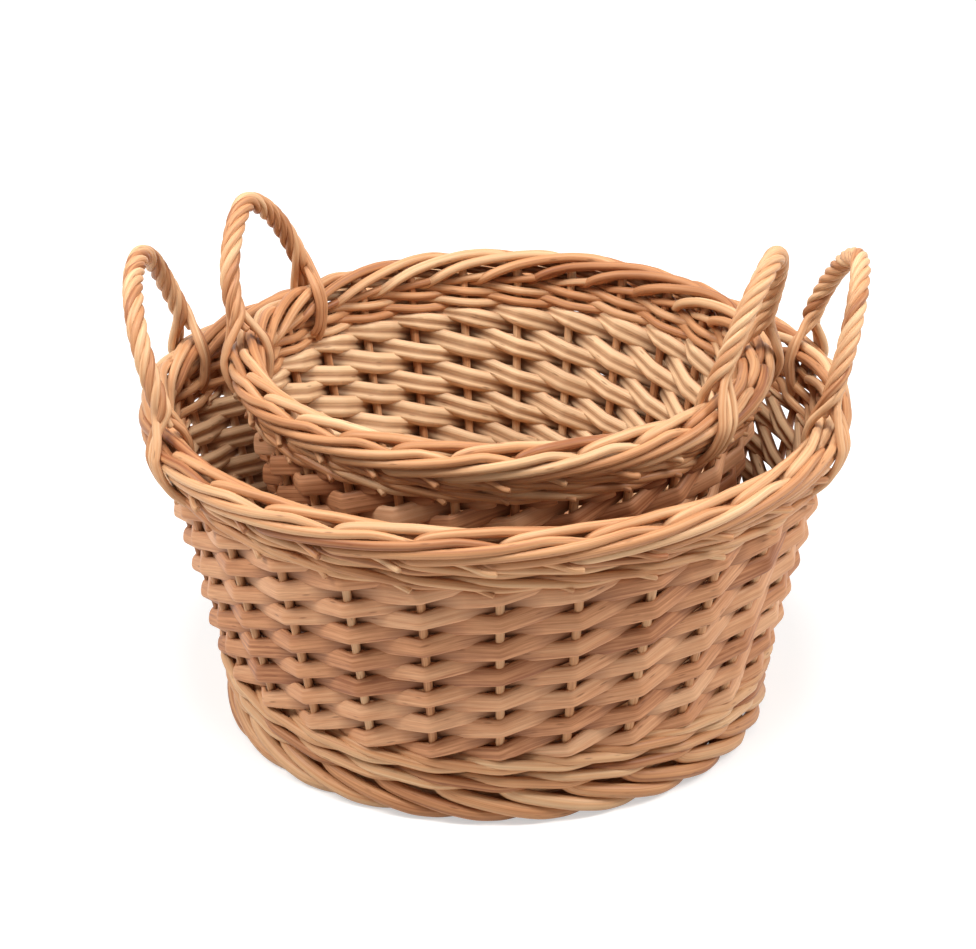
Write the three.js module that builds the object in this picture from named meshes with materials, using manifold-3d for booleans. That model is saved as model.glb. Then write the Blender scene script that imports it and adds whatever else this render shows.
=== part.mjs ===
// A nesting pair of round willow baskets: a large one, and a small one that stands inside it.
// Each basket is woven upward from a base of crossed sticks. Stakes rise from the base, a band of
// waling, a band of randing and a second band of waling are woven round them, and their tips are
// laid down side by side as the border. A foot border goes round underneath, and two twisted rope
// handles straddle the top border. The weave is drawn as bands of its true thickness, pierced where
// the stakes run through it, and the randing swells in and out as its weavers do.
// Millimetres, +Z up. The origin is on the ground, on the large basket's axis.
import * as THREE from "three";
import { mergeVertices } from "three/addons/utils/BufferGeometryUtils.js";
import Module from "manifold-3d";

const wasm = await Module();
wasm.setup();

// Rods, the same in both baskets
const clearance = 0.3;
const stakeDiameter = 4.7;
const weaverThickness = 3.6;
const holeWall = 0.5;
const stickDiameter = 8;
const ropeDiameter = 12;
const ropeCoreDiameter = 5.6;
const ropeStrandDiameter = 6;

// Large basket
const largeHeight = 196;
const largeRimRadius = 190;
const largeBaseRadius = 148;
const largeBorderThickness = 20;
const largeFootHeight = 12;
const largeFootWidth = 17;
const largeFootOverhang = 3;
const largeBaseThickness = 12;
const largeBottomWaleHeight = 31;
const largeTopWaleHeight = 18.5;
const largeRandingRows = 13;
const largeStakeCount = 27;
const largeFirstStakeAngle = 3.9;
const largeHandleFootAngle = 18.5;
const largeHandleRise = 75;
const largeHandleLean = 11;

// Small basket, measured in its own frame and then stood on the large one's floor
const smallHeight = 198;
const smallRimRadius = 142.5;
const smallBaseRadius = 107;
const smallBorderThickness = 21;
const smallFootHeight = 12;
const smallFootWidth = 16;
const smallFootOverhang = 3;
const smallBaseThickness = 12;
const smallBottomWaleHeight = 31;
const smallTopWaleHeight = 18.5;
const smallRandingRows = 12;
const smallStakeCount = 27;
const smallFirstStakeAngle = 12.5;
const smallHandleFootAngle = 17;
const smallHandleRise = 63;
const smallHandleLean = 11;
const smallTurn = -20;
const smallShift = 4;

// How far stakes and handle cores reach into the weave, and how far the sticks stop short of it
const stakeButtLength = 5;
const handleLegDepth = 26;
const stickInset = 8;

// Base cross: these sticks are slit, and those are pushed through the slits
const slitStickCount = 3;
const throughStickCount = 4;
const pressedPitch = 0.85;
const slitTaper = 9;
const slitTipThickness = 6.4;

// Facets
const borderStepsPerStake = 2;
const borderFacets = 8;
const stakeFacets = 4;
const rodFacets = 6;
const ropeFacets = 8;
const archSteps = 14;
const squareShare = 0.9;
const weldDistance = 1e-4;

const stakeRadius = stakeDiameter / 2;
const stickRadius = stickDiameter / 2;
const ropeRadius = ropeDiameter / 2;
const ropeCoreRadius = ropeCoreDiameter / 2;
const ropeStrandRadius = ropeStrandDiameter / 2;
const halfWall = stakeRadius + clearance + weaverThickness;
const holeReach = stakeRadius + clearance + holeWall;
const halfCrossing = weaverThickness / 2 + clearance;

// Colours and finishes
const rodLook = { color: 0xc98a55, roughness: 0.55 };
const splitLook = { color: 0xd39a66, roughness: 0.6 };
const stickLook = { color: 0xb98250, roughness: 0.7 };
const ropeLook = { color: 0xc27f4b, roughness: 0.5 };

function point(radius, angle, height) {
  return new THREE.Vector3(radius * Math.cos(angle), radius * Math.sin(angle), height);
}

function solid(geometry) {
  const bare = geometry.index ? geometry.toNonIndexed() : geometry.clone();
  bare.deleteAttribute("normal");
  bare.deleteAttribute("uv");
  const merged = mergeVertices(bare, weldDistance);
  const vertProperties = new Float32Array(merged.attributes.position.array);
  const triVerts = new Uint32Array(merged.index.array);
  const made = new wasm.Manifold(new wasm.Mesh({ numProp: 3, vertProperties, triVerts }));
  if (made.volume() > 0) return made;
  triVerts.reverse();
  return new wasm.Manifold(new wasm.Mesh({ numProp: 3, vertProperties, triVerts }));
}

function joined(solids) {
  return solids.reduce((whole, next) => whole.add(next));
}

function cut(body, tools) {
  return tools.reduce((rest, tool) => rest.subtract(tool), body);
}

function node(name, body, look) {
  const mesh = body.getMesh();
  const geometry = new THREE.BufferGeometry();
  geometry.setAttribute("position", new THREE.BufferAttribute(mesh.vertProperties, 3));
  geometry.setIndex(new THREE.BufferAttribute(mesh.triVerts, 1));
  geometry.computeVertexNormals();
  const material = new THREE.MeshStandardMaterial({ ...look, metalness: 0 });
  const made = new THREE.Mesh(geometry, material);
  made.name = name;
  return made;
}

// A rod of even section along a line of points, with mitred bends
function rod(points, radius, facets, turn = 0) {
  const directions = points.slice(1).map((end, i) => end.clone().sub(points[i]).normalize());
  const first = directions[0];
  const helper = Math.abs(first.z) < 0.9 ? new THREE.Vector3(0, 0, 1) : new THREE.Vector3(1, 0, 0);
  const side = new THREE.Vector3().crossVectors(first, helper).normalize();
  const up = new THREE.Vector3().crossVectors(side, first);
  let ring = Array.from({ length: facets }, (_, k) => {
    const angle = turn + (2 * Math.PI * k) / facets;
    const across = side.clone().multiplyScalar(radius * Math.cos(angle));
    return across.addScaledVector(up, radius * Math.sin(angle)).add(points[0]);
  });
  const vertices = [...ring];
  for (let i = 1; i < points.length; i += 1) {
    const along = directions[i - 1];
    const mitre = along.clone().add(directions[i] ?? along).normalize();
    ring = ring.map((corner) => {
      const travel = points[i].clone().sub(corner).dot(mitre) / along.dot(mitre);
      return corner.clone().addScaledVector(along, travel);
    });
    vertices.push(...ring);
  }
  const triangles = [];
  for (let i = 0; i < points.length - 1; i += 1) {
    for (let k = 0; k < facets; k += 1) {
      const a = i * facets + k;
      const b = i * facets + ((k + 1) % facets);
      triangles.push(a, b, b + facets, a, b + facets, a + facets);
    }
  }
  const last = (points.length - 1) * facets;
  for (let k = 1; k < facets - 1; k += 1) {
    triangles.push(0, k + 1, k, last, last + k, last + k + 1);
  }
  const geometry = new THREE.BufferGeometry().setFromPoints(vertices);
  geometry.setIndex(triangles);
  return solid(geometry);
}

// A ring about the Z axis, from the outline of its section in radius and height
function ring(outline, facets, firstAngle) {
  const section = outline.map(([radius, height]) => new THREE.Vector2(radius, height));
  section.push(section[0].clone());
  const phase = firstAngle + Math.PI / 2;
  const geometry = new THREE.LatheGeometry(section, facets, phase, 2 * Math.PI);
  geometry.rotateX(Math.PI / 2);
  return solid(geometry);
}

// Heights and the leaning line that the stakes follow, worked out from a basket's own sizes
function plan(size) {
  const borderRadius = size.borderThickness / 2;
  const rimHeight = size.height - borderRadius;
  const baseBottom = size.footHeight + clearance;
  const baseHeight = baseBottom + size.baseThickness / 2;
  const lean = (size.rimRadius - size.baseRadius) / (rimHeight - baseHeight);
  const topWaleTop = rimHeight - borderRadius - clearance;
  return {
    ...size,
    borderRadius,
    rimHeight,
    baseBottom,
    baseHeight,
    baseTop: baseBottom + size.baseThickness,
    bottomWaleTop: baseBottom + size.bottomWaleHeight,
    topWaleTop,
    topWaleBottom: topWaleTop - size.topWaleHeight,
    firstAngle: THREE.MathUtils.degToRad(size.firstStakeAngle),
    footAngle: THREE.MathUtils.degToRad(size.handleFootAngle),
    lineRadius: (height) => size.baseRadius + lean * (height - baseHeight),
  };
}

// Stakes start beside the base inside the bottom wale, turn up and end inside the border
function stakes(basket, grow) {
  const start = basket.baseRadius - stakeButtLength - grow;
  return Array.from({ length: basket.stakeCount }, (_, i) => {
    const angle = basket.firstAngle + (2 * Math.PI * i) / basket.stakeCount;
    const path = [
      point(start, angle, basket.baseHeight),
      point(basket.baseRadius, angle, basket.baseHeight),
      point(basket.rimRadius, angle, basket.rimHeight),
    ];
    const corner = (stakeRadius + grow) * Math.SQRT2 * squareShare;
    return rod(path, corner, stakeFacets, Math.PI / stakeFacets);
  });
}

function border(basket) {
  const outline = Array.from({ length: borderFacets }, (_, i) => {
    const angle = (2 * Math.PI * (i + 0.5)) / borderFacets;
    const out = basket.borderRadius * Math.cos(angle);
    return [basket.rimRadius + out, basket.rimHeight + basket.borderRadius * Math.sin(angle)];
  });
  return ring(outline, basket.stakeCount * borderStepsPerStake, basket.firstAngle);
}

// A waled band of the wall between two heights, with the wall's lean
function band(basket, low, high) {
  const lower = basket.lineRadius(low);
  const upper = basket.lineRadius(high);
  const outline = [
    [lower - halfWall, low],
    [lower + halfWall, low],
    [upper + halfWall, high],
    [upper - halfWall, high],
  ];
  return ring(outline, basket.stakeCount, basket.firstAngle);
}

// Triangles between two neighbouring columns of points, listed from the bottom up
function zipped(left, right) {
  const triangles = [];
  let i = 0;
  let j = 0;
  while (i < left.length - 1 || j < right.length - 1) {
    const leftNext = left[i + 1]?.z ?? Infinity;
    const rightNext = right[j + 1]?.z ?? Infinity;
    if (leftNext <= rightNext) {
      triangles.push(left[i], right[j], left[i + 1]);
      i += 1;
    } else {
      triangles.push(left[i], right[j], right[j + 1]);
      j += 1;
    }
  }
  return triangles;
}

// The randing. Its weavers lie outside every stake in one row and inside it in the next, and cross
// over halfway between stakes, so the band swells at the stakes and is thin between them.
function wovenBand(basket, low, high) {
  const climb = (high - low) / basket.randingRows;
  const atStake = [[low, holeReach, holeReach]];
  const between = [];
  for (let row = 0; row < basket.randingRows; row += 1) {
    const outside = row % 2 === 0;
    const height = low + (row + 0.5) * climb;
    atStake.push([height, outside ? halfWall : holeReach, outside ? holeReach : halfWall]);
    if (outside) between.push([low + row * climb, halfCrossing, halfCrossing]);
  }
  atStake.push([high, holeReach, holeReach]);
  between.push([high, halfCrossing, halfCrossing]);
  const count = 2 * basket.stakeCount;
  const columns = Array.from({ length: count }, (_, i) => {
    const angle = basket.firstAngle + (2 * Math.PI * i) / count;
    const levels = i % 2 === 0 ? atStake : between;
    const outer = levels.map(([height, out]) => point(basket.lineRadius(height) + out, angle, height));
    const inner = levels.map(([height, , back]) => point(basket.lineRadius(height) - back, angle, height));
    return { outer, inner };
  });
  const corners = columns.flatMap((here, i) => {
    const next = columns[(i + 1) % count];
    const foot = [here.inner[0], next.inner[0], next.outer[0], here.inner[0], next.outer[0], here.outer[0]];
    const [a, b, c, d] = [here.outer.at(-1), next.outer.at(-1), next.inner.at(-1), here.inner.at(-1)];
    const top = [a, b, c, a, c, d];
    return [...zipped(here.outer, next.outer), ...zipped(next.inner, here.inner), ...foot, ...top];
  });
  return solid(new THREE.BufferGeometry().setFromPoints(corners));
}

function footBorder(basket) {
  const outer = basket.lineRadius(basket.baseBottom) + halfWall + basket.footOverhang;
  const inner = outer - basket.footWidth;
  const bevel = basket.footHeight / 4;
  const outline = [
    [inner, 0],
    [outer - bevel, 0],
    [outer, bevel],
    [outer, basket.footHeight - bevel],
    [outer - bevel, basket.footHeight],
    [inner, basket.footHeight],
  ];
  return ring(outline, basket.stakeCount, basket.firstAngle);
}

// One group of base sticks: pressed together at the centre, fanned out evenly towards the edge
function fannedSticks(basket, count, heading, crossing, grow) {
  const ends = 2 * (slitStickCount + throughStickCount);
  const spread = (2 * Math.PI) / ends;
  const reach = basket.lineRadius(basket.baseBottom) - halfWall - stickInset + grow;
  const straight = (crossing * stickDiameter) / 2 + slitTaper;
  return Array.from({ length: count }, (_, i) => {
    const place = i - (count - 1) / 2;
    const offset = place * stickDiameter * pressedPitch;
    const path = [
      point(reach, Math.PI + place * -spread, 0),
      new THREE.Vector3(-straight, offset, 0),
      new THREE.Vector3(straight, offset, 0),
      point(reach, place * spread, 0),
    ];
    const turned = path.map((corner) => {
      corner.applyAxisAngle(new THREE.Vector3(0, 0, 1), heading);
      return corner.setZ(basket.baseHeight);
    });
    return rod(turned, stickRadius + grow, rodFacets, Math.PI / 6);
  });
}

// Where the slit sticks open round the others, they swell to twice their thickness
function slitSwelling(basket, grow) {
  const wide = (throughStickCount * stickDiameter) / 2 + grow;
  const long = wide + slitTaper;
  const tall = stickDiameter + grow;
  const thin = slitTipThickness / 2 + grow;
  const depth = slitStickCount * stickDiameter * pressedPitch + 2 * grow;
  const outline = new THREE.Shape([
    new THREE.Vector2(-long, -thin),
    new THREE.Vector2(-wide, -tall),
    new THREE.Vector2(wide, -tall),
    new THREE.Vector2(long, -thin),
    new THREE.Vector2(long, thin),
    new THREE.Vector2(wide, tall),
    new THREE.Vector2(-wide, tall),
    new THREE.Vector2(-long, thin),
  ]);
  const geometry = new THREE.ExtrudeGeometry(outline, { depth, bevelEnabled: false });
  geometry.translate(0, 0, -depth / 2);
  geometry.rotateX(Math.PI / 2);
  geometry.translate(0, 0, basket.baseHeight);
  return solid(geometry);
}

function slitSticks(basket, grow) {
  const sticks = fannedSticks(basket, slitStickCount, 0, throughStickCount, grow);
  return joined([slitSwelling(basket, grow), ...sticks]);
}

function throughSticks(basket, grow) {
  return joined(fannedSticks(basket, throughStickCount, Math.PI / 2, slitStickCount, grow));
}

function baseWeave(basket) {
  const inner = Math.hypot(slitStickCount, throughStickCount) * stickRadius;
  const outer = basket.lineRadius(basket.baseBottom) - halfWall - clearance;
  const outline = [
    [inner, basket.baseBottom],
    [outer, basket.baseBottom],
    [outer, basket.baseTop],
    [inner, basket.baseTop],
  ];
  return ring(outline, basket.stakeCount, basket.firstAngle);
}

// Corner of a path that runs round the border at a set distance, as seen in the radial plane
function roundBorder(basket, distance, around, footAngle) {
  const reach = distance / Math.cos(Math.PI / 8);
  const radius = basket.rimRadius + reach * Math.cos(around);
  return point(radius, footAngle, basket.rimHeight + reach * Math.sin(around));
}

// The handle's arch: half an ellipse that leans outward from two feet on the border
function archPoints(basket, springHeight) {
  const foot = point(basket.rimRadius, basket.footAngle, springHeight);
  const top = basket.height + basket.handleRise;
  const topRadius = basket.rimRadius + basket.handleLean;
  return Array.from({ length: archSteps + 1 }, (_, i) => {
    const turn = (Math.PI * i) / archSteps;
    const rise = Math.sin(turn);
    const out = foot.x + (topRadius - foot.x) * rise;
    return new THREE.Vector3(out, foot.y * Math.cos(turn), springHeight + (top - springHeight) * rise);
  });
}

function handleSpring(basket) {
  return basket.rimHeight + basket.borderRadius + clearance + ropeDiameter;
}

function mirrored(points) {
  return points.map((corner) => new THREE.Vector3(corner.x, -corner.y, corner.z)).reverse();
}

// The core rod of a handle: up inside the wall, over the border, round the arch and down again
function handleCore(basket, grow) {
  const beside = basket.borderRadius + clearance + ropeCoreRadius;
  const bottom = basket.topWaleTop - handleLegDepth;
  const innerFace = (basket.lineRadius(bottom) - halfWall) * Math.cos(Math.PI / basket.stakeCount);
  const leg = [
    point(innerFace - clearance - ropeCoreRadius, basket.footAngle, bottom),
    roundBorder(basket, beside, Math.PI, basket.footAngle),
    roundBorder(basket, beside, (Math.PI * 3) / 4, basket.footAngle),
  ];
  const arch = archPoints(basket, handleSpring(basket));
  return rod([...leg, ...arch, ...mirrored(leg)], ropeCoreRadius + grow, rodFacets);
}

// The rope laid round the core, with strands that go over the border outside and hook under it
function handleRope(basket) {
  const spring = handleSpring(basket);
  const seat = basket.height + clearance;
  const foot = point(basket.rimRadius, basket.footAngle, seat);
  const arch = archPoints(basket, spring);
  const rope = rod([foot, ...arch, ...mirrored([foot])], ropeRadius, ropeFacets, Math.PI / ropeFacets);
  const beside = basket.borderRadius + clearance + ropeStrandRadius;
  const strand = [
    point(basket.rimRadius, basket.footAngle, spring),
    roundBorder(basket, beside, Math.PI / 4, basket.footAngle),
    roundBorder(basket, beside, 0, basket.footAngle),
    roundBorder(basket, beside, -Math.PI / 4, basket.footAngle),
  ];
  const hooks = [strand, mirrored(strand)].map((path) => rod(path, ropeStrandRadius, rodFacets));
  return cut(joined([rope, ...hooks]), [handleCore(basket, clearance)]);
}

function makeBasket(prefix, size) {
  const basket = plan(size);
  const group = new THREE.Group();
  const holes = stakes(basket, clearance);
  const slit = slitSticks(basket, 0);
  const through = throughSticks(basket, 0);
  const slitHole = slitSticks(basket, clearance);
  const throughHole = throughSticks(basket, clearance);
  const bottomWale = band(basket, basket.baseBottom, basket.bottomWaleTop);
  const randing = wovenBand(basket, basket.bottomWaleTop + clearance, basket.topWaleBottom - clearance);
  const topWale = band(basket, basket.topWaleBottom, basket.topWaleTop);
  group.add(
    node(`${prefix}_base_slit_sticks`, cut(slit, [throughHole]), stickLook),
    node(`${prefix}_base_through_sticks`, through, stickLook),
    node(`${prefix}_base_weave`, cut(baseWeave(basket), [slitHole, throughHole]), splitLook),
    node(`${prefix}_foot_border`, footBorder(basket), rodLook),
    node(`${prefix}_stakes_and_border`, joined([border(basket), ...stakes(basket, 0)]), rodLook),
    node(`${prefix}_bottom_wale`, cut(bottomWale, holes), rodLook),
    node(`${prefix}_wall_randing`, cut(randing, holes), splitLook),
    node(`${prefix}_top_wale`, cut(topWale, holes), rodLook),
  );
  for (const [side, angle] of [["right", 0], ["left", Math.PI]]) {
    const core = node(`${prefix}_handle_core_${side}`, handleCore(basket, 0), rodLook);
    const rope = node(`${prefix}_handle_rope_${side}`, handleRope(basket), ropeLook);
    core.rotation.z = angle;
    rope.rotation.z = angle;
    group.add(core, rope);
  }
  return { group, floor: basket.baseTop };
}

const large = makeBasket("large", {
  height: largeHeight,
  rimRadius: largeRimRadius,
  baseRadius: largeBaseRadius,
  borderThickness: largeBorderThickness,
  footHeight: largeFootHeight,
  footWidth: largeFootWidth,
  footOverhang: largeFootOverhang,
  baseThickness: largeBaseThickness,
  bottomWaleHeight: largeBottomWaleHeight,
  topWaleHeight: largeTopWaleHeight,
  randingRows: largeRandingRows,
  stakeCount: largeStakeCount,
  firstStakeAngle: largeFirstStakeAngle,
  handleFootAngle: largeHandleFootAngle,
  handleRise: largeHandleRise,
  handleLean: largeHandleLean,
});

const small = makeBasket("small", {
  height: smallHeight,
  rimRadius: smallRimRadius,
  baseRadius: smallBaseRadius,
  borderThickness: smallBorderThickness,
  footHeight: smallFootHeight,
  footWidth: smallFootWidth,
  footOverhang: smallFootOverhang,
  baseThickness: smallBaseThickness,
  bottomWaleHeight: smallBottomWaleHeight,
  topWaleHeight: smallTopWaleHeight,
  randingRows: smallRandingRows,
  stakeCount: smallStakeCount,
  firstStakeAngle: smallFirstStakeAngle,
  handleFootAngle: smallHandleFootAngle,
  handleRise: smallHandleRise,
  handleLean: smallHandleLean,
});
small.group.position.set(smallShift, 0, large.floor + clearance);
small.group.rotation.z = THREE.MathUtils.degToRad(smallTurn);

const baskets = new THREE.Group();
baskets.add(large.group, small.group);

export default baskets;
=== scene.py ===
# A nesting pair of round willow baskets. Every rod of the weave is laid as a rod of its own, from the
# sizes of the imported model: stakes that turn down into the border, split rods woven up the wall,
# three-rod waling, a plaited foot, a paired base and twisted rope handles.
import math
import random

import bpy
import numpy as np
from mathutils import Euler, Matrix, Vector


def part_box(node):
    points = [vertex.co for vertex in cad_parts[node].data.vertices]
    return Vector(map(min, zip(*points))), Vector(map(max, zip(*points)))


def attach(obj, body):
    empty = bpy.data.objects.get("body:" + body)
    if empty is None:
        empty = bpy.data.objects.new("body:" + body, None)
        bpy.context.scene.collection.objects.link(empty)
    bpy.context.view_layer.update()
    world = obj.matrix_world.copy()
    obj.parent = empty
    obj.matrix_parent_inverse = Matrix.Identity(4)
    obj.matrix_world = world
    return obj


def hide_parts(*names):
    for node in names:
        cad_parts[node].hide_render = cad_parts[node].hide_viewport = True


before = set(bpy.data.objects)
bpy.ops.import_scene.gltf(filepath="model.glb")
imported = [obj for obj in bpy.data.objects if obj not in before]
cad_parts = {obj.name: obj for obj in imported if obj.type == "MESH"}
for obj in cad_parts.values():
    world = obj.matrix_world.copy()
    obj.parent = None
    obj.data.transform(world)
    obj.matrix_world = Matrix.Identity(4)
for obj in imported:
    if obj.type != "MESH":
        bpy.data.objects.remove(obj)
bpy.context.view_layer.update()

random.seed(27)
MM = 0.001

# The camera that matches the photograph's view of the rims, base and handles
CAMERA_TARGET = (-4.2 * MM, 0.0, 90 * MM)
CAMERA_DISTANCE = 2.0
CAMERA_ELEVATION = math.radians(25.93)
CAMERA_PITCH = math.radians(24.65)
CAMERA_ROLL = math.radians(-0.31)
CAMERA_LENS = 128.68

# Counts, the same in both baskets
STAKES = 27
STAKE_GAP = 2 * math.pi / STAKES
SLIT_STICKS = 3
THROUGH_STICKS = 4
STICK_ENDS = 2 * (SLIT_STICKS + THROUGH_STICKS)
BOTTOM_WALE_ROUNDS = 2
TOP_WALE_ROUNDS = 2
ROPE_STRANDS = 5

# Rods, the same in both baskets
STAKE_RADIUS = 2.5 * MM
BORDER_ROD_RADIUS = 2.85 * MM
SPLIT_THICKNESS = 5.0 * MM
WALE_ROD_RADIUS = 2.9 * MM
TOP_WALE_ROD_RADIUS = 2.45 * MM
TIP_RADIUS = 1.6 * MM
FOOT_ROD_RADIUS = 4.0 * MM
STICK_RADIUS = 3.8 * MM
PAIRING_ROD_RADIUS = 2.4 * MM
STRAND_RADIUS = 2.3 * MM
HANDLE_CORE_RADIUS = 2.0 * MM
ROUND_SIDES = 12
STEP = 2.5 * MM

# A stake's way up: out from the stakes' line and up, in mm, from the base and then from the rim
STAKE_FROM_BASE = ((-28, 0), (-2, 0), (0, 8))
STAKE_TO_RIM = ((0, -22), (-1.6, -8))

# How a stake becomes the border, as stake gaps past its own place, and out and up from the ring's
# middle in mm, for a ring of that half thickness. It bends right, goes behind the next two, comes
# out below, climbs over three more, dives behind a last one and ends outside, some 8 gaps on.
BORDER_RING = 10.25 * MM
BORDER_LENGTH = 8
BORDER_ROUTE = (
    (0.00, -0.8, -1.0), (0.08, 0.5, 2.2), (0.20, 1.4, 4.6), (0.36, 1.5, 6.3), (0.60, 0.6, 7.3),
    (1.00, -2.4, 7.4), (1.50, -5.0, 5.5), (2.00, -7.0, 2.8), (2.35, -7.8, -0.6), (2.55, -7.2, -3.8),
    (2.70, -4.8, -7.4), (2.84, -0.6, -9.8), (3.00, 3.7, -9.2), (3.50, 5.8, -6.2), (4.00, 7.2, -3.5),
    (4.50, 7.9, -1.0), (5.00, 8.0, 2.0), (5.50, 5.9, 5.0), (5.75, 4.6, 3.4), (6.00, 3.3, 0.3),
    (6.20, -1.0, -2.2), (6.35, -3.6, -3.6), (6.50, -5.2, -4.6), (6.75, -6.0, -5.6), (7.00, -5.6, -6.6),
    (7.20, -4.0, -8.4), (7.40, -0.5, -9.4), (7.62, 3.6, -10.2), (7.84, 7.8, -13.2),
)

# The same for a foot rod: past its own stake, out from the stakes' line and up from the ground
FOOT_ROUTE = (
    (-0.05, -1.0, 30.0), (-0.02, -0.5, 23.0), (0.10, 2.0, 18.6), (0.35, 4.0, 16.4), (0.70, 5.8, 13.6),
    (1.20, 7.2, 9.0), (1.65, 6.9, 5.4), (2.05, 4.2, 4.2), (2.40, -1.0, 4.4), (2.80, -6.4, 5.6),
    (3.30, -9.0, 7.6), (3.90, -10.0, 10.4), (4.30, -10.5, 12.0),
)

# How finely both routes are followed, in stake gaps, and how far a foot rod stays off the ground
ROUTE_STEP = 0.08
FLOOR_GAP = 0.1 * MM

# Where a split weaver's middle passes outside and inside a stake, from the stakes' line
SPLIT_OUTSIDE = 5.3 * MM
SPLIT_INSIDE = -4.7 * MM

# A weaver's ends: as stake gaps from its first stake and from the one after its last, then out and
# up in mm, from the foot and the top of the rows. It ends on the other side than it last passed on.
WEAVER_START = ((-0.75, -5, -7), (-0.45, -2, -1))
WEAVER_END = ((-0.58, 1.5, -3), (-0.38, 3, -1.5))

# A weaver thins towards both ends: shares of its length, and its size there
WEAVER_SHARES = (0, 0.04, 0.07, 0.93, 0.96, 1)
WEAVER_SIZES = (0.45, 0.75, 1, 1, 0.75, 0.45)

# How much waling rods rise and fall beside the stakes and between them, against their radius, and
# how far a round waves up and down
WALE_RISE = 0.8
WALE_CROSSING = 0.9
WALE_WAVE = 0.35 * MM

# The base: how far its sticks and its weave end inside the stakes' line, half the square cross, the
# radius of the first round of pairing, the distance to the next ones, and how far the rods wave out
STICK_INSET = 14 * MM
WEAVE_INSET = 9 * MM
CROSS_HALF = 24 * MM
FIRST_PAIRING = 29 * MM
PAIRING_PITCH = 8.0 * MM
PAIRING_WAVE = 2.1 * MM

# A slit stick's halves: their thickness against a whole one, how far in mm they lie from its middle,
# and how much further, and over what distance, where the other sticks pass between them
HALF_STICK = 0.52
HALF_APART = 1.9
SLIT_OPENING = 4.2
SLIT_REACH = 22 * MM

# The rope handles: the circle that the strands' middles turn on, wider at the feet, the length of
# one turn, and the places of the strands at a foot, in mm along the border
STRAND_CIRCLE = 3.8 * MM
FOOT_CIRCLE = 1.25
FOOT_CIRCLE_LENGTH = 12 * MM
ROPE_RADIUS = 6 * MM
ROPE_LAY = 46 * MM
OUTSIDE_SHIFTS = (-3, 2, 7)
INSIDE_SHIFTS = (-7, -2.5)


# Geometry of a basket


class Basket:
    """One basket's own sizes, read from its CAD nodes, and the frame that its rods are laid in.

    turn and first_stake are in degrees and base_radius in mm. spread widens the rim, lift raises the
    rows of weavers and bow draws the wall in at half height, all in mm. overlap is a weaver's width
    against its row, swell how much wider it is where it isn't in front of a stake, and tilts its lean
    in degrees in front of a stake, between two and behind one.
    """

    def __init__(self, prefix, body, turn, first_stake, base_radius, rows, spread, lift, bow,
                 overlap, swell, tilts, handles):
        self.prefix = prefix
        self.body = body
        self.turn = math.radians(turn)
        self.first = math.radians(first_stake)
        border_low, border_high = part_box(prefix + "_stakes_and_border")
        foot_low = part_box(prefix + "_foot_border")[0]
        lower_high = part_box(prefix + "_bottom_wale")[1]
        upper_low, upper_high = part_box(prefix + "_top_wale")
        base_low, base_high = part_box(prefix + "_base_weave")
        middle = (border_low + border_high) / 2
        self.centre = np.array([middle.x, middle.y, foot_low.z])
        self.border = (border_high.z - upper_high.z) / 2
        self.rim_height = border_high.z - self.border - foot_low.z
        self.rim_radius = (border_high.x - border_low.x) / 2 - self.border + spread * MM
        self.rand_low = lower_high.z - foot_low.z + lift * MM
        self.rand_high = upper_low.z - foot_low.z + lift * MM
        self.base_height = (base_low.z + base_high.z) / 2 - foot_low.z
        self.base_radius = base_radius * MM
        self.slope = (self.rim_radius - self.base_radius) / (self.rim_height - self.base_height)
        self.bow = bow * MM
        self.rows = rows
        self.overlap = overlap
        self.swell = swell
        self.tilts = np.radians(tilts)
        self.handles = handles

    def line(self, height):
        """The stakes' distance from the axis at a height."""
        up = height - self.base_height
        share = np.clip(up / (self.rim_height - self.base_height), 0, 1)
        return self.base_radius + self.slope * up - self.bow * np.sin(math.pi * share)

    def at(self, gaps, offset, height):
        """A point beside the stakes' line: how many stake gaps round, how far out, how high."""
        return self.polar(self.first + gaps * STAKE_GAP, self.line(height) + offset, height)

    @staticmethod
    def polar(angle, radius, height):
        angle, radius, height = np.broadcast_arrays(angle, radius, height)
        return np.stack([radius * np.cos(angle), radius * np.sin(angle), height], axis=-1)

    def placed(self, points):
        """Points turned and moved to where the basket stands."""
        c, s = math.cos(self.turn), math.sin(self.turn)
        turned = points @ np.array([[c, s, 0], [-s, c, 0], [0, 0, 1]])
        return turned + self.centre


def smoothed(points, width, closed):
    """Points with their corners rounded over about that many steps."""
    reach = max(1, int(math.ceil(3 * width)))
    weights = np.exp(-0.5 * (np.arange(-reach, reach + 1) / width) ** 2)
    weights /= weights.sum()
    if closed:
        padded = np.concatenate([points[-reach:], points, points[:reach]])
    else:
        head = 2 * points[0] - points[reach:0:-1]
        tail = 2 * points[-1] - points[-2:-reach - 2:-1]
        padded = np.concatenate([head, points, tail])
    return np.stack([np.convolve(padded[:, i], weights, "valid") for i in range(3)], axis=1)


def bent(points, rounding, step=STEP, closed=False):
    """A rod bent along a line of points, straight between them, with each bend rounded."""
    points = np.asarray(points, dtype=float)
    if closed:
        points = np.concatenate([points, points[:1]])
    lengths = np.linalg.norm(np.diff(points, axis=0), axis=1)
    along = np.concatenate([[0], np.cumsum(lengths)])
    count = max(4, int(round(along[-1] / step)))
    places = np.linspace(0, along[-1], count + 1)
    if closed:
        places = places[:-1]
    even = np.stack([np.interp(places, along, points[:, i]) for i in range(3)], axis=1)
    return smoothed(even, rounding / step, closed)


def round_section(radius, sides=ROUND_SIDES):
    angles = 2 * np.pi * np.arange(sides) / sides
    return np.stack([radius * np.cos(angles), radius * np.sin(angles)], axis=1)


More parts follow.
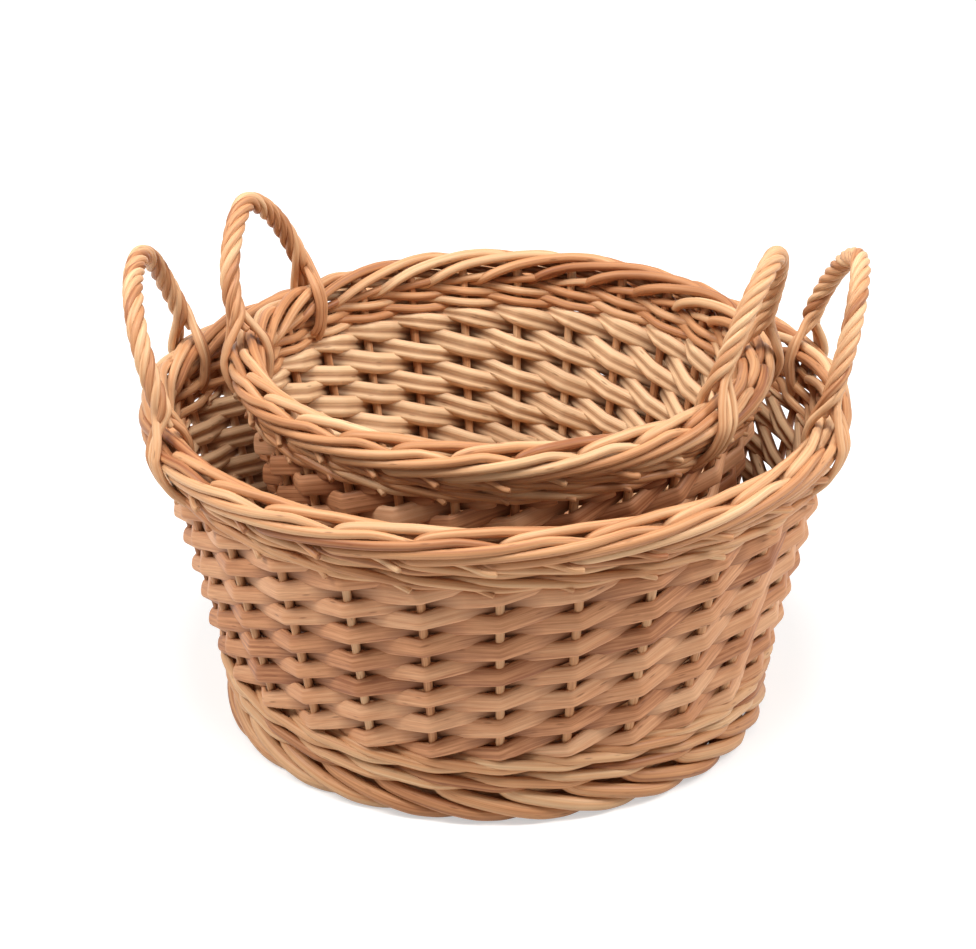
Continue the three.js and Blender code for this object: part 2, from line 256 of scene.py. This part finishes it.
def split_section(width, thickness, sides=24):
    """A rod split lengthwise: its bark side nearly flat, its pith side two ridges and a groove."""
    angles = 2 * np.pi * np.arange(sides) / sides
    across = width / 2 * np.sign(np.sin(angles)) * np.abs(np.sin(angles)) ** 0.85
    bark = thickness / 2 * np.abs(np.cos(angles)) ** 0.7
    ridges = 0.66 - 0.34 * np.cos(4 * np.pi * across / width)
    pith = -thickness / 2 * np.abs(np.cos(angles)) ** 0.5 * ridges
    return np.stack([np.where(np.cos(angles) >= 0, bark, pith), across], axis=1)


class Bundle:
    """Rods gathered into one mesh.

    Each point keeps its place in its rod's own wood, its rod's shade, and how deep it lies in the
    weave: 0 in front of a stake and 1 behind one.
    """

    def __init__(self, basket):
        self.basket = basket
        self.points, self.wood, self.tints, self.depths = [], [], [], []
        self.quads, self.caps = [], []
        self.count = 0

    def add(self, path, section, closed=False, outward=None, sizes=None, depth=None):
        """Sweeps a section along a path, with its first axis turned outward.

        Without an outward direction, a rod faces away from the axis and a little to one side, so that
        one that runs straight out has a side too.
        """
        path = np.asarray(path)
        if outward is None:
            aside = np.stack([-path[:, 1], path[:, 0], np.zeros(len(path))], axis=1)
            outward = path * np.array([1.0, 1.0, 0.0]) + 0.3 * aside
        if closed:
            tangent = np.roll(path, -1, axis=0) - np.roll(path, 1, axis=0)
        else:
            tangent = np.gradient(path, axis=0)
        tangent /= np.linalg.norm(tangent, axis=1, keepdims=True)
        side = outward - (outward * tangent).sum(axis=1, keepdims=True) * tangent
        side /= np.linalg.norm(side, axis=1, keepdims=True)
        rise = np.cross(side, tangent)
        steps = np.linalg.norm(np.diff(path, axis=0, prepend=path[:1]), axis=1)
        along = np.cumsum(steps)
        size = np.ones(len(path)) if sizes is None else np.interp(along / along[-1], *sizes)
        depth = np.zeros(len(path)) if depth is None else depth
        if not closed:
            # An open rod's ends are rounded off by one smaller ring each
            depth = np.concatenate([depth[:1], depth, depth[-1:]])
            lip = np.abs(section).max() * 0.35
            ends = [path[:1] - tangent[:1] * lip, path[-1:] + tangent[-1:] * lip]
            path = np.concatenate([ends[0], path, ends[1]])
            side = np.concatenate([side[:1], side, side[-1:]])
            rise = np.concatenate([rise[:1], rise, rise[-1:]])
            along = np.concatenate([along[:1] - lip, along, along[-1:] + lip])
            size = np.concatenate([size[:1] * 0.7, size, size[-1:] * 0.7])
        a = section[None, :, 0] * size[:, None]
        b = section[None, :, 1] * size[:, None]
        corners = path[:, None] + side[:, None] * a[..., None] + rise[:, None] * b[..., None]
        start = random.uniform(0, 40)
        wood = np.stack([np.broadcast_to(along[:, None] + start, a.shape), a, b], axis=-1)
        rings, sides = a.shape
        ring = np.arange(rings if closed else rings - 1)[:, None] * sides + self.count
        ahead = np.roll(np.arange(rings) * sides, -1)[: len(ring), None] + self.count
        k, after = np.arange(sides)[None], (np.arange(sides)[None] + 1) % sides
        quads = np.stack([ring + k, ahead + k, ahead + after, ring + after], axis=-1)
        self.quads.append(quads.reshape(-1, 4))
        if not closed:
            first = np.arange(sides) + self.count
            self.caps.append(first)
            self.caps.append((first + (rings - 1) * sides)[::-1])
        self.points.append(corners.reshape(-1, 3))
        self.wood.append(wood.reshape(-1, 3))
        self.tints.append(np.full(rings * sides, random.random()))
        self.depths.append(np.repeat(depth, sides))
        self.count += rings * sides

    def make(self, name, material, node):
        """Makes the mesh, which rides on the basket's body and replaces one of its nodes."""
        basket = self.basket
        name = f"{basket.prefix}_{name}"
        points = basket.placed(np.concatenate(self.points))
        quads = np.concatenate(self.quads)
        corners = np.concatenate([quads.ravel(), *self.caps])
        totals = np.concatenate([np.full(len(quads), 4), [len(cap) for cap in self.caps]]).astype(int)
        starts = np.concatenate([[0], np.cumsum(totals)[:-1]])
        mesh = bpy.data.meshes.new(name)
        mesh.vertices.add(len(points))
        mesh.vertices.foreach_set("co", points.astype(np.float32).ravel())
        mesh.loops.add(len(corners))
        mesh.loops.foreach_set("vertex_index", corners.astype(np.int32))
        mesh.polygons.add(len(totals))
        mesh.polygons.foreach_set("loop_start", starts.astype(np.int32))
        mesh.polygons.foreach_set("use_smooth", np.arange(len(totals)) < len(quads))
        mesh.update(calc_edges=True)
        wood = mesh.attributes.new("wood", "FLOAT_VECTOR", "POINT")
        wood.data.foreach_set("vector", np.concatenate(self.wood).astype(np.float32).ravel())
        for title, values in (("tint", self.tints), ("depth", self.depths)):
            attribute = mesh.attributes.new(title, "FLOAT", "POINT")
            attribute.data.foreach_set("value", np.concatenate(values).astype(np.float32))
        mesh.materials.append(material)
        piece = bpy.data.objects.new(name, mesh)
        bpy.context.scene.collection.objects.link(piece)
        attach(piece, basket.body)
        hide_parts(basket.prefix + "_" + node)


# Willow materials


class Nodes:
    """Short calls for the nodes of a willow material."""

    def __init__(self, name):
        self.material = bpy.data.materials.new(name)
        self.material.use_nodes = True
        self.tree = self.material.node_tree
        self.shader = self.tree.nodes["Principled BSDF"]

    def new(self, kind, **settings):
        node = self.tree.nodes.new(kind)
        for key, value in settings.items():
            setattr(node, key, value)
        return node

    def put(self, source, target):
        if hasattr(source, "is_output"):
            self.tree.links.new(source, target)
        else:
            target.default_value = source

    def attribute(self, name):
        return self.new("ShaderNodeAttribute", attribute_name=name)

    def math(self, operation, a, b=0.0):
        node = self.new("ShaderNodeMath", operation=operation)
        self.put(a, node.inputs[0])
        self.put(b, node.inputs[1])
        return node.outputs[0]

    def scaled(self, vector, scale):
        node = self.new("ShaderNodeVectorMath", operation="MULTIPLY")
        self.put(vector, node.inputs[0])
        node.inputs[1].default_value = scale
        return node.outputs[0]

    def noise(self, vector, detail, rough):
        node = self.new("ShaderNodeTexNoise")
        self.put(vector, node.inputs["Vector"])
        node.inputs["Scale"].default_value = 1.0
        node.inputs["Detail"].default_value = detail
        node.inputs["Roughness"].default_value = rough
        return node.outputs["Fac"]

    def ranged(self, value, low, high, to_low=0.0, to_high=1.0):
        node = self.new("ShaderNodeMapRange")
        self.put(value, node.inputs["Value"])
        node.inputs["From Min"].default_value = low
        node.inputs["From Max"].default_value = high
        node.inputs["To Min"].default_value = to_low
        node.inputs["To Max"].default_value = to_high
        return node.outputs["Result"]

    def mix(self, share, first, second):
        node = self.new("ShaderNodeMix", data_type="RGBA")
        self.put(share, node.inputs["Factor"])
        self.put(first, node.inputs["A"])
        self.put(second, node.inputs["B"])
        return node.outputs["Result"]


def colour(red, green, blue):
    """An sRGB colour, 0 to 255, as Blender's linear one."""
    channels = [value / 255 for value in (red, green, blue)]
    linear = [c / 12.92 if c <= 0.04045 else ((c + 0.055) / 1.055) ** 2.4 for c in channels]
    return (*linear, 1.0)


# How fine each mark is along, through and across a rod, in marks to the metre
FIBRE_GRAIN = (14, 1500, 1500)
STREAK_GRAIN = (6, 620, 620)
DRIFT_GRAIN = (16, 30, 30)
KNOT_GRAIN = (48, 260, 260)
KNOT = colour(112, 66, 38)
# Painted shade for the crevices beside the stakes, where a split rod lies deep in the weave
CREVICE_SHADE = colour(84, 44, 24)
FIBRE_DEPTH = 0.25 * MM


def willow(name, dark, middle, light, inner=None, roughness=0.46):
    """Peeled willow: long fibres, a rod's own shade, darker blotches and small knots.

    A split rod has an inner colour too, for its pith side. Its groove gets painted shade, and so does
    what lies deep in the weave against a stake or a neighbour.
    """
    n = Nodes(name)
    wood = n.attribute("wood").outputs["Vector"]
    tint = n.attribute("tint").outputs["Fac"]
    fibres = n.noise(n.scaled(wood, FIBRE_GRAIN), 4.0, 0.6)
    streaks = n.noise(n.scaled(wood, STREAK_GRAIN), 3.0, 0.55)
    drift = n.noise(n.scaled(wood, DRIFT_GRAIN), 2.0, 0.5)
    tone = n.math("ADD", n.math("MULTIPLY", streaks, 0.56), n.math("MULTIPLY", drift, 0.26))
    tone = n.math("ADD", tone, n.ranged(tint, 0, 1, -0.03, 0.26))
    shade = n.mix(n.ranged(tone, 0.3, 0.5), dark, middle)
    shade = n.mix(n.ranged(tone, 0.5, 0.78), shade, light)
    if inner is not None:
        shade = split_shade(n, wood, shade, dark, inner)
    shade = n.mix(n.ranged(fibres, 0.35, 0.7, 0.0, 0.36), shade, dark)
    knots = n.new("ShaderNodeTexVoronoi")
    n.put(n.scaled(wood, KNOT_GRAIN), knots.inputs["Vector"])
    knots.inputs["Scale"].default_value = 1.0
    knot = n.ranged(knots.outputs["Distance"], 0.16, 0.07, 0, 0.5)
    shade = n.mix(knot, shade, KNOT)
    n.put(shade, n.shader.inputs["Base Color"])
    rough = n.ranged(streaks, 0.3, 0.7, roughness - 0.07, roughness + 0.12)
    n.put(rough, n.shader.inputs["Roughness"])
    n.shader.inputs["Specular IOR Level"].default_value = 0.28
    bump = n.new("ShaderNodeBump")
    bump.inputs["Strength"].default_value = 0.35
    bump.inputs["Distance"].default_value = FIBRE_DEPTH
    n.put(n.math("ADD", fibres, n.math("MULTIPLY", knot, 1.2)), bump.inputs["Height"])
    n.put(bump.outputs["Normal"], n.shader.inputs["Normal"])
    return n.material


def split_shade(n, wood, shade, dark, inner):
    """The colour of a split rod, from its pith, with painted shade in its groove and where it lies deep in
    the weave.
    """
    pith = n.new("ShaderNodeSeparateXYZ")
    n.put(wood, pith.inputs[0])
    bare = n.ranged(pith.outputs["Y"], 0.2 * MM, -0.9 * MM, 0, 0.8)
    shade = n.mix(bare, shade, inner)
    # Painted shade in the groove down the middle of the pith side
    groove = n.ranged(n.math("ABSOLUTE", pith.outputs["Z"]), 0.3 * MM, 1.4 * MM, 0.6, 0)
    shade = n.mix(n.math("MULTIPLY", bare, groove), shade, dark)
    # Painted shade: the bark side behind a stake and the pith side in front of one are mixed towards the
    # crevice shade
    depth = n.attribute("depth").outputs["Fac"]
    bark = n.ranged(pith.outputs["Y"], -0.6 * MM, 0.2 * MM)
    behind = n.math("MULTIPLY", bark, n.ranged(depth, 0.42, 0.85, 0, 0.72))
    before = n.math("MULTIPLY", bare, n.ranged(depth, 0.58, 0.15, 0, 0.8))
    return n.mix(n.math("MAXIMUM", behind, before), shade, CREVICE_SHADE)


# The pieces of a basket


def lay_stakes_and_border(basket, material):
    """Each stake rises from the base, bends right at the rim and is laid into the border."""
    bundle = Bundle(basket)
    rim, low = basket.rim_height, basket.base_height
    scale = basket.border / BORDER_RING * MM
    past, outs, ups = np.transpose(BORDER_ROUTE)
    for k in range(STAKES):
        wall = [basket.at(k, out * MM, low + up * MM) for out, up in STAKE_FROM_BASE]
        wall += [basket.at(k, out * MM, rim + up * MM) for out, up in STAKE_TO_RIM]
        end = past[-1] + random.uniform(-0.1, 0.12)
        gaps = np.append(np.arange(0, end, ROUTE_STEP), end)
        loose = 0.35 * np.sin(gaps * random.uniform(1.5, 3) + random.uniform(0, 6))
        radius = basket.rim_radius + (np.interp(gaps, past, outs) + loose) * scale
        height = rim + (np.interp(gaps, past, ups) + loose) * scale
        laid = basket.polar(basket.first + (k + gaps) * STAKE_GAP, radius, height)
        path = bent(np.concatenate([wall, laid]), rounding=2.2 * MM, step=2 * MM)
        # As thin as a stake up the wall, full along the border and thinner again at the tip
        thin = STAKE_RADIUS / BORDER_ROD_RADIUS
        share = (rim - low) / (rim - low + BORDER_LENGTH * STAKE_GAP * basket.rim_radius)
        fat = random.uniform(0.94, 1.05)
        sizes = ([0, share, share + 0.03, 0.75, 1], [thin, thin, fat, fat * 0.96, fat * 0.68])
        bundle.add(path, round_section(BORDER_ROD_RADIUS), sizes=sizes)
    bundle.make("stakes_laid_into_border", material, "stakes_and_border")


def lay_randing(basket, material):
    """One split rod to each stake, in front of one stake and behind the next, climbing as it goes.

    Rods are of many widths, and each row stands on the rods below it. Where weavers cross between two
    stakes, their edges lap over each other.
    """
    bundle = Bundle(basket)
    band = basket.rand_high - basket.rand_low
    climb = band / basket.rows
    widths = [random.uniform(0.9, 1.1) for _ in range(STAKES)]

    def height(stake, row):
        below = sum(widths[(stake - j) % STAKES] for j in range(row))
        whole = sum(widths[(stake - j) % STAKES] for j in range(basket.rows))
        return basket.rand_low + band * (below + widths[(stake - row) % STAKES] / 2) / whole

    # A weaver's values at every half gap: in front of a stake, between, behind the next, between
    places = np.arange(-2, basket.rows + 2, 0.5)
    front, between, behind = basket.tilts
    tilts = np.resize([front, between, behind, between], len(places))
    swells = np.resize([1.0, basket.swell, basket.swell, basket.swell], len(places))
    depths = np.resize([0.0, 0.5, 1.0, 0.5], len(places))
    for k in range(STAKES):
        width = climb * basket.overlap * widths[k]
        thickness = SPLIT_THICKNESS * random.uniform(0.92, 1.08)
        points = []
        for past, out, up in WEAVER_START:
            points.append(basket.at(k + past, out * MM, basket.rand_low + up * MM))
        for row in range(basket.rows):
            out = SPLIT_OUTSIDE if row % 2 == 0 else SPLIT_INSIDE
            points.append(basket.at(k + row, out + random.uniform(-0.3, 0.3) * MM, height(k + row, row)))
        back = -1 if basket.rows % 2 else 1
        for past, out, up in WEAVER_END:
            points.append(basket.at(k + basket.rows + past, back * out * MM, basket.rand_high + up * MM))
        path = bent(points, rounding=0.9 * MM, step=1.5 * MM)
        round_by = np.unwrap(np.arctan2(path[:, 1], path[:, 0]))
        gaps = (round_by - basket.first) / STAKE_GAP - k
        # The weaver's own gaps start at its first stake, so whole turns are taken off
        turns = round(gaps[len(gaps) // 2] / STAKES - basket.rows / 2 / STAKES)
        gaps -= turns * STAKES
        tilt = np.interp(gaps, places, tilts)
        swell = np.interp(gaps, places, swells)
        # A wider stretch grows upward, so that its lower edge stays
        path[:, 2] += width / 2 * (swell - 1)
        share = np.linspace(0, 1, len(path))
        size = swell * np.interp(share, WEAVER_SHARES, WEAVER_SIZES)
        outward = basket.polar(round_by, np.cos(tilt), np.sin(tilt))
        depth = np.interp(gaps, places, depths)
        bundle.add(path, split_section(width, thickness), outward=outward, sizes=(share, size), depth=depth)
    bundle.make("randing_weavers", material, "wall_randing")


def lay_wale(bundle, low, rounds, rod, first_phase=0, band=None):
    """Rounds of three-rod waling: each rod passes in front of two stakes and behind the third.

    The rounds share out a band, or lie close on each other where none is given.
    """
    basket = bundle.basket
    beside = STAKE_RADIUS + rod
    pitch = 4 * rod if band is None else band / rounds
    for turn in range(rounds):
        height = low + pitch * (turn + 0.5)
        for strand in range(3):
            points = []
            wobble = random.uniform(0, 2 * math.pi)
            for i in range(STAKES):
                phase = (i + strand + turn + first_phase) % 3
                z = height + WALE_WAVE * math.sin(3 * i * STAKE_GAP + wobble)
                if phase == 0:
                    points.append(basket.at(i, beside, z + rod * WALE_RISE))
                elif phase == 1:
                    points.append(basket.at(i, beside, z - rod * WALE_RISE))
                    points.append(basket.at(i + 0.5, 0, z - rod * WALE_CROSSING))
                else:
                    points.append(basket.at(i, -beside, z))
                    points.append(basket.at(i + 0.5, 0, z + rod * WALE_CROSSING))
            path = bent(points, rounding=4.5 * MM, closed=True)
            # A little thick, so that neighbours press together
            bundle.add(path, round_section(rod * 1.04), closed=True)


def lay_bottom_wale(basket, material):
    """Rounds that set up the stakes, just below the weavers."""
    bundle = Bundle(basket)
    rod = WALE_ROD_RADIUS
    lay_wale(bundle, basket.rand_low - BOTTOM_WALE_ROUNDS * 4 * rod, BOTTOM_WALE_ROUNDS, rod)
    bundle.make("bottom_wale_rods", material, "bottom_wale")


def lay_top_wale(basket, material):
    """Rounds under the border, and the cut tips that stick out beside each stake."""
    bundle = Bundle(basket)
    low = basket.rand_high
    band = basket.rim_height - basket.border - low
    lay_wale(bundle, low, TOP_WALE_ROUNDS, TOP_WALE_ROD_RADIUS, first_phase=1, band=band)
    for k in range(STAKES):
        drop = random.uniform(-0.8, 0.8) * MM
        points = [
            basket.at(k - 0.55, -1 * MM, low + 5 * MM),
            basket.at(k - 0.3, 4 * MM, low + 2.5 * MM + drop),
            basket.at(k - random.uniform(0.06, 0.16), 7.6 * MM, low + drop),
        ]
        tip = round_section(TIP_RADIUS * random.uniform(0.85, 1.1))
        bundle.add(bent(points, rounding=2 * MM), tip)
    bundle.make("top_wale_rods", material, "top_wale")


def lay_foot(basket, material):
    """Thick rods that come down through the waling, bend right and tuck under the base."""
    bundle = Bundle(basket)
    past, outs, ups = np.transpose(FOOT_ROUTE)
    places = np.concatenate([past[:2], np.arange(past[2], past[-1], ROUTE_STEP)])
    offset = np.interp(places, past, outs) * MM
    height = np.interp(places, past, ups) * MM
    for k in range(STAKES):
        path = bent(basket.at(k + places, offset, height), rounding=3 * MM)
        fat = random.uniform(0.95, 1.04)
        path[:, 2] = np.maximum(path[:, 2], FOOT_ROD_RADIUS * fat + FLOOR_GAP)
        bundle.add(path, round_section(FOOT_ROD_RADIUS * fat))
    bundle.make("foot_border_rods", material, "foot_border")


def fan(basket, count, heading):
    """Paths of one group of base sticks: side by side at the centre, fanned out to the edge."""
    spread = 2 * math.pi / STICK_ENDS
    reach = basket.base_radius - STICK_INSET
    for i in range(count):
        place = i - (count - 1) / 2
        offset = place * 2 * STICK_RADIUS
        beside = math.hypot(offset, CROSS_HALF)
        turned = [
            basket.polar(math.pi - place * spread + heading, reach, 0),
            basket.polar(math.atan2(offset, -CROSS_HALF) + heading, beside, 0),
            basket.polar(math.atan2(offset, CROSS_HALF) + heading, beside, 0),
            basket.polar(place * spread + heading, reach, 0),
        ]
        path = np.array(turned) + np.array([0, 0, basket.base_height])
        yield bent(path, rounding=5 * MM)


def lay_base(basket, material, sticks_material):
    """Sticks pushed through slit ones, and thin rods paired round them."""
    up = np.array([0.0, 0.0, 1.0])
    through = Bundle(basket)
    for stick in fan(basket, THROUGH_STICKS, math.pi / 2):
        through.add(stick, round_section(STICK_RADIUS), outward=np.tile(up, (len(stick), 1)))
    through.make("base_through_rods", sticks_material, "base_through_sticks")
    slit = Bundle(basket)
    for stick in fan(basket, SLIT_STICKS, 0):
        near = np.exp(-(np.linalg.norm(stick[:, :2], axis=1) / SLIT_REACH) ** 4)
        for half in (1, -1):
            rod = stick.copy()
            rod[:, 2] += half * (HALF_APART + SLIT_OPENING * near) * MM
            section = round_section(STICK_RADIUS) * np.array([HALF_STICK, 1.0])
            slit.add(rod, section, outward=np.tile(up, (len(rod), 1)))
    slit.make("base_slit_rods", sticks_material, "base_slit_sticks")
    weave = Bundle(basket)
    rod = PAIRING_ROD_RADIUS
    radius = FIRST_PAIRING
    edge = basket.base_radius - WEAVE_INSET
    rounds = int((edge - radius) / PAIRING_PITCH)
    pitch = (edge - radius) / rounds
    for turn in range(rounds + 1):
        angle = np.arange(0, 2 * math.pi, STEP * 1.4 / radius)
        wave = STICK_ENDS // 2 * angle + math.pi * turn
        for strand in (1, -1):
            out = radius + strand * PAIRING_WAVE * np.sin(wave)
            height = basket.base_height + strand * (STICK_RADIUS + rod * 0.8) * np.cos(wave)
            weave.add(basket.polar(angle, out, height), round_section(rod, 10), closed=True)
        radius += pitch
    weave.make("base_pairing_rods", material, "base_weave")


class Handle:
    """How a handle was bent by hand.

    foot_angle is how far its feet are from its middle, in degrees round the rim. rise is its height
    and lean how far it leans out, in mm. A fullness under 1 squares its shoulders, and a bulge under
    1 makes it lean out sooner.
    """

    def __init__(self, foot_angle, rise, lean, fullness, bulge):
        self.foot_angle = math.radians(foot_angle)
        self.rise = rise * MM
        self.lean = lean * MM
        self.fullness = fullness
        self.bulge = bulge


def arch(basket, side):
    """The handle's centre line: an arch that leans outward from two feet on the border."""
    handle = basket.handles[side]
    spring = basket.rim_height + basket.border + ROPE_RADIUS
    foot = basket.polar(handle.foot_angle, basket.rim_radius, spring)
    reach = basket.rim_radius + handle.lean - foot[0]
    turn = np.linspace(0, math.pi, 160)
    rise = np.sin(turn)
    across = np.sign(np.cos(turn)) * np.abs(np.cos(turn)) ** handle.fullness
    points = np.stack([
        foot[0] + reach * rise ** handle.bulge,
        foot[1] * across,
        spring + handle.rise * rise,
    ], axis=1)
    if side == "left":
        points[:, :2] *= -1
    return bent(points, rounding=2 * MM, step=1.5 * MM)


def feet(basket, azimuth, away):
    """Where strands go at a foot: three over the border outside and under it, two down inside."""
    reach = basket.border + STRAND_RADIUS + 1.2 * MM
    rim, radius = basket.rim_height, basket.rim_radius
    diagonal = reach * 0.75

    def spot(out, height, shift):
        return basket.polar(azimuth + away * shift * MM / radius, radius + out, height)

    routes = []
    for shift in OUTSIDE_SHIFTS:
        routes.append([
            spot(-2 * MM, rim - 24 * MM, shift + 9),
            spot(6 * MM, rim - 17 * MM, shift + 7),
            spot(diagonal, rim - diagonal, shift + 5),
            spot(reach, rim, shift + 3),
            spot(diagonal, rim + diagonal, shift),
        ])
    for shift in INSIDE_SHIFTS:
        routes.append([
            spot(-reach * 0.6, rim - 24 * MM - shift * MM, shift - 2),
            spot(-reach * 0.8, rim - 14 * MM, shift - 1),
            spot(-reach * 0.88, rim, shift),
            spot(-diagonal * 0.9, rim + diagonal, shift),
        ])
    return routes


def lay_handle(basket, side, material):
    """A rope of strands round a bow, with the strands' ends taken round the border at both feet."""
    centre = arch(basket, side)
    tangent = np.gradient(centre, axis=0)
    tangent /= np.linalg.norm(tangent, axis=1, keepdims=True)
    top = len(centre) // 2
    flat = np.cross(centre[0] - centre[top], centre[-1] - centre[top])
    flat /= np.linalg.norm(flat)
    normal = np.cross(flat, tangent)
    along = np.cumsum(np.linalg.norm(np.diff(centre, axis=0, prepend=centre[:1]), axis=1))
    circle = STRAND_CIRCLE * np.interp(along, [0, FOOT_CIRCLE_LENGTH], [FOOT_CIRCLE, 1.0])[:, None]
    strands = []
    for i in range(ROPE_STRANDS):
        wave = 2 * math.pi * (along / ROPE_LAY + i / ROPE_STRANDS)
        strands.append(centre + circle * (np.cos(wave)[:, None] * normal + np.sin(wave)[:, None] * flat))

    def nearest(end, routes):
        """The outermost strands take the routes over the outside."""
        order = sorted(range(ROPE_STRANDS), key=lambda i: -np.linalg.norm(strands[i][end, :2]))
        return {strand: routes[place] for place, strand in enumerate(order)}

    half_turn = math.pi if side == "left" else 0.0
    foot_angle = basket.handles[side].foot_angle
    starts = nearest(0, feet(basket, half_turn + foot_angle, 1))
    ends = nearest(-1, feet(basket, half_turn - foot_angle, -1))
    away = np.array([np.mean(centre[:, 0]), 0, basket.rim_height])
    # Points left out at both ends of a strand, where it bends over to the border
    skip = 6
    rope = Bundle(basket)
    for i, strand in enumerate(strands):
        line = np.concatenate([starts[i], strand[skip:-skip], ends[i][::-1]])
        path = bent(line, rounding=3.0 * MM, step=2 * MM)
        section = round_section(STRAND_RADIUS * random.uniform(0.94, 1.06))
        rope.add(path, section, outward=path - away)
    rope.make("handle_strands_" + side, material, "handle_rope_" + side)
    core = Bundle(basket)
    core.add(centre, round_section(HANDLE_CORE_RADIUS, 8), outward=normal)
    core.make("handle_bow_" + side, material, "handle_core_" + side)


# Materials, from the photograph's colours
ROD = willow("willow_rod", colour(142, 84, 50), colour(204, 147, 101), colour(232, 194, 150))
SPLIT = willow(
    "willow_split", colour(148, 90, 56), colour(208, 148, 105), colour(237, 188, 146),
    inner=colour(238, 204, 160), roughness=0.52,
)
STICK = willow("willow_stick", colour(140, 90, 54), colour(190, 134, 88), colour(215, 168, 120))
ROPE = willow("willow_rope", colour(152, 94, 58), colour(210, 155, 110), colour(236, 198, 154))

large = Basket(
    "large", "large_basket", turn=0, first_stake=3.9, base_radius=148, rows=13,
    spread=0.3, lift=0, bow=1.8, overlap=1.06, swell=1.32, tilts=(9, 3, -12),
    handles={
        "left": Handle(foot_angle=21.8, rise=64.7, lean=8.8, fullness=0.79, bulge=0.85),
        "right": Handle(foot_angle=19.0, rise=66.2, lean=12.2, fullness=1.22, bulge=1.05),
    },
)
small = Basket(
    "small", "small_basket", turn=-20, first_stake=12.5, base_radius=107, rows=12,
    spread=0, lift=5, bow=0, overlap=1.22, swell=1.08, tilts=(4, -3, -12),
    handles={
        "left": Handle(foot_angle=19.0, rise=56.8, lean=11.6, fullness=1.37, bulge=0.56),
        "right": Handle(foot_angle=17.3, rise=62.2, lean=12.9, fullness=1.15, bulge=0.91),
    },
)

for basket in (large, small):
    lay_base(basket, ROD, STICK)
    lay_foot(basket, ROD)
    lay_bottom_wale(basket, ROD)
    lay_randing(basket, SPLIT)
    lay_top_wale(basket, ROD)
    lay_stakes_and_border(basket, ROD)
    for side in ("right", "left"):
        lay_handle(basket, side, ROPE)


# Floor, backdrop, lights and camera

FLOOR_HALF = 6.0
FLOOR_COLOUR = (0.64, 0.64, 0.63, 1)
FLOOR_GLOW = 0.5
WORLD_LIGHT = 0.28

# Each lamp's place and size in metres, and its power in watts
LAMP_TARGET = (0, 0, 0.12)
LAMPS = {
    "key_left": ((-1.5, -0.3, 1.6), 0.7, 28),
    "key_right": ((1.6, -0.2, 1.5), 0.7, 27),
    "top": ((0.0, -0.6, 2.1), 0.8, 35),
}


def seen_directly(tree):
    """A socket that is 1 for rays from the camera and reflections, and 0 for the light on the part."""
    path = tree.nodes.new("ShaderNodeLightPath")
    seen = tree.nodes.new("ShaderNodeMath")
    seen.operation = "MAXIMUM"
    tree.links.new(path.outputs["Is Camera Ray"], seen.inputs[0])
    tree.links.new(path.outputs["Is Glossy Ray"], seen.inputs[1])
    return seen.outputs[0]


def make_floor():
    """A pale floor that glows a little, only to the camera, so that it looks white."""
    mesh = bpy.data.meshes.new("floor")
    corners = [(x * FLOOR_HALF, y * FLOOR_HALF, 0) for x, y in ((-1, -1), (1, -1), (1, 1), (-1, 1))]
    mesh.from_pydata(corners, [], [(0, 1, 2, 3)])
    floor = bpy.data.objects.new("floor", mesh)
    bpy.context.scene.collection.objects.link(floor)
    material = bpy.data.materials.new("floor_paper")
    material.use_nodes = True
    tree = material.node_tree
    shader = tree.nodes["Principled BSDF"]
    shader.inputs["Base Color"].default_value = FLOOR_COLOUR
    shader.inputs["Roughness"].default_value = 0.9
    shader.inputs["Specular IOR Level"].default_value = 0.1
    seen = seen_directly(tree)
    glow = tree.nodes.new("ShaderNodeMath")
    glow.operation = "MULTIPLY"
    glow.inputs[1].default_value = FLOOR_GLOW
    tree.links.new(seen, glow.inputs[0])
    shader.inputs["Emission Color"].default_value = (1, 1, 1, 1)
    tree.links.new(glow.outputs[0], shader.inputs["Emission Strength"])
    mesh.materials.append(material)


def make_world():
    """A backdrop that is white to the camera and soft on the part."""
    world = bpy.data.worlds.new("studio")
    bpy.context.scene.world = world
    world.use_nodes = True
    tree = world.node_tree
    background = tree.nodes["Background"]
    seen = seen_directly(tree)
    strength = tree.nodes.new("ShaderNodeMapRange")
    tree.links.new(seen, strength.inputs["Value"])
    strength.inputs["To Min"].default_value = WORLD_LIGHT
    strength.inputs["To Max"].default_value = 1.0
    tree.links.new(strength.outputs["Result"], background.inputs["Strength"])
    background.inputs["Color"].default_value = (1, 1, 1, 1)


def make_lamp(name, place, size, power):
    data = bpy.data.lights.new(name, "AREA")
    data.shape = "SQUARE"
    data.size = size
    data.energy = power
    lamp = bpy.data.objects.new(name, data)
    lamp.location = place
    lamp.rotation_euler = (Vector(LAMP_TARGET) - Vector(place)).to_track_quat("-Z", "Y").to_euler()
    bpy.context.scene.collection.objects.link(lamp)


def make_camera():
    """The camera, back from its target and pitched a little less than its elevation."""
    data = bpy.data.cameras.new("camera")
    data.lens = CAMERA_LENS
    camera = bpy.data.objects.new("camera", data)
    back = Vector((0, -math.cos(CAMERA_ELEVATION), math.sin(CAMERA_ELEVATION)))
    camera.location = Vector(CAMERA_TARGET) + back * CAMERA_DISTANCE
    tilt = Euler((math.pi / 2 - CAMERA_PITCH, 0, 0)).to_matrix()
    roll = Euler((0, 0, CAMERA_ROLL)).to_matrix()
    camera.rotation_euler = (tilt @ roll).to_euler()
    bpy.context.scene.collection.objects.link(camera)
    bpy.context.scene.camera = camera


make_floor()
make_world()
for name, (place, size, power) in LAMPS.items():
    make_lamp(name, place, size, power)
make_camera()
bpy.context.scene.view_settings.view_transform = "Standard"
